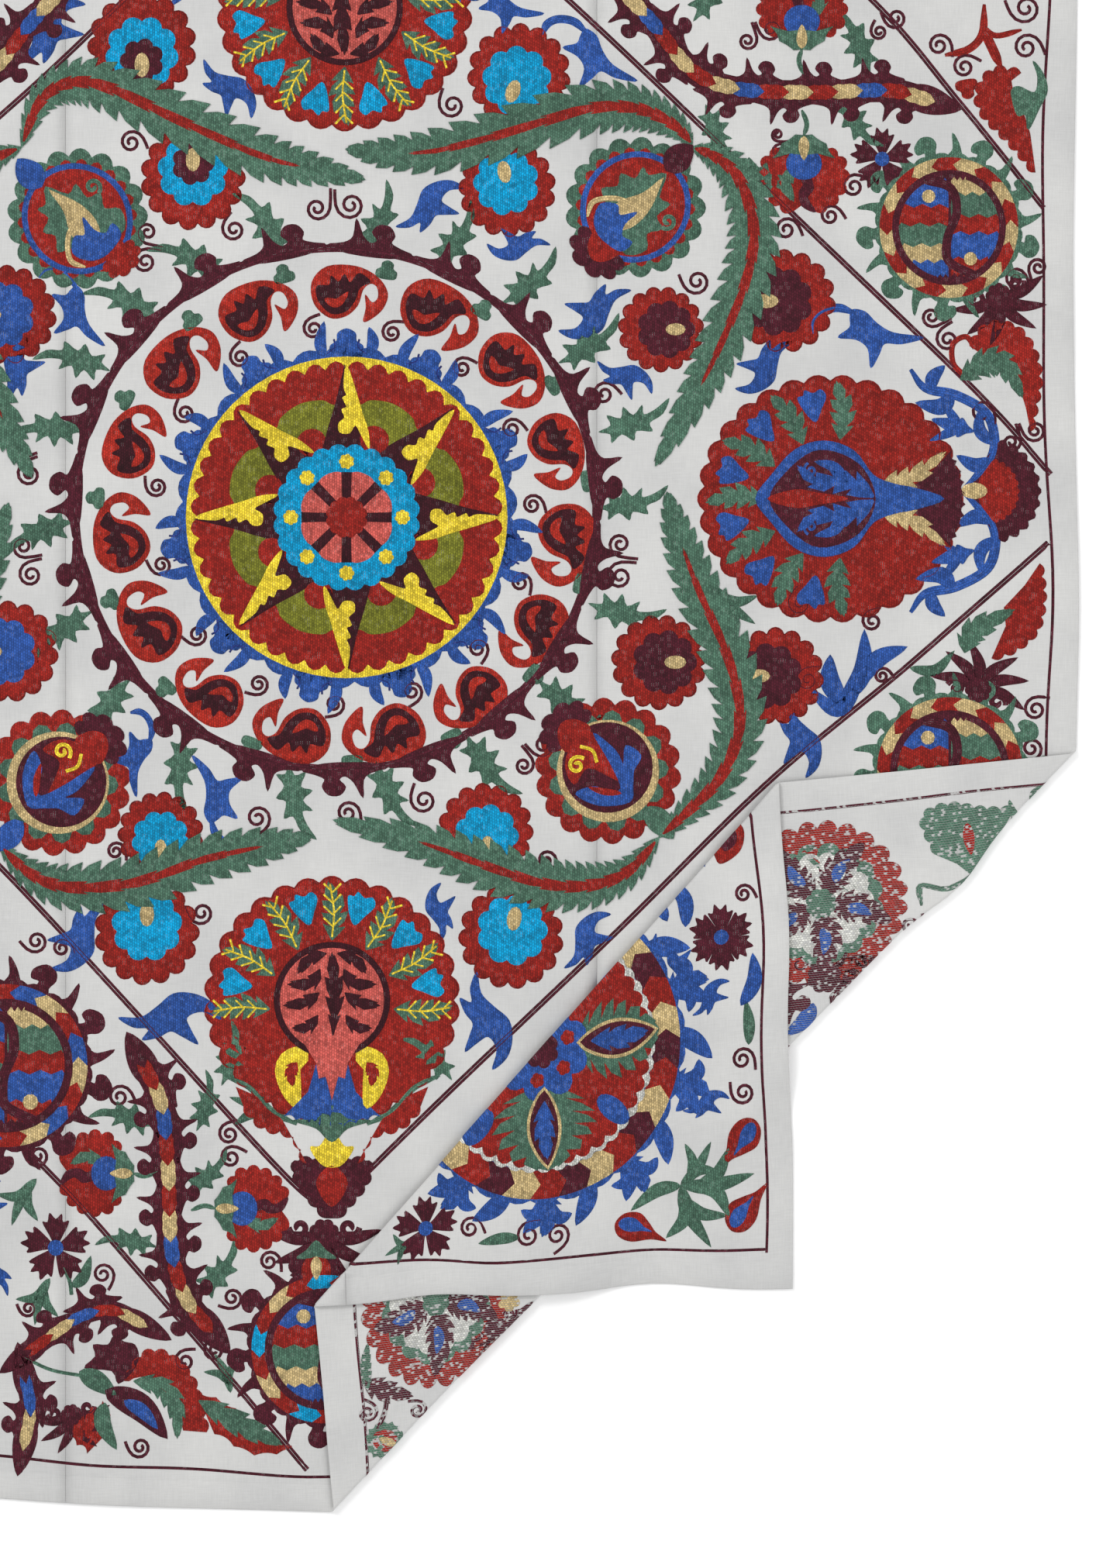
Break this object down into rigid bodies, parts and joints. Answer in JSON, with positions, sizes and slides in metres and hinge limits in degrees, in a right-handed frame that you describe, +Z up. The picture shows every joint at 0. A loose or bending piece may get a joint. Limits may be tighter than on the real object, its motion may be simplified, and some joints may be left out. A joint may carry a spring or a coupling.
{
  "type": "embroidered cotton cloth",
  "caption": "Suzani bedspread with a large medallion, flower discs and a thorny vine border, lying face up with its lower right corner folded over and the tip folded back.",
  "frame": {"origin": "centre of the bounding box, on the surface the cloth lies on", "axes": "+X to the right and +Y to the top of the design, seen from its face; +Z up out of the embroidered face"},
  "size_m": [1.503, 2.056, 0.0112],
  "materials": {
    "cotton_cloth": "matt off-white hand-loomed cotton",
    "embroidery_thread": "silky chain-stitched thread in red, plum, green, blue and yellow"
  },
  "bodies": {
    "root": {"panel_left": "cotton_cloth", "panel_centre": "cotton_cloth", "panel_right": "cotton_cloth"}
  },
  "joints": []
}
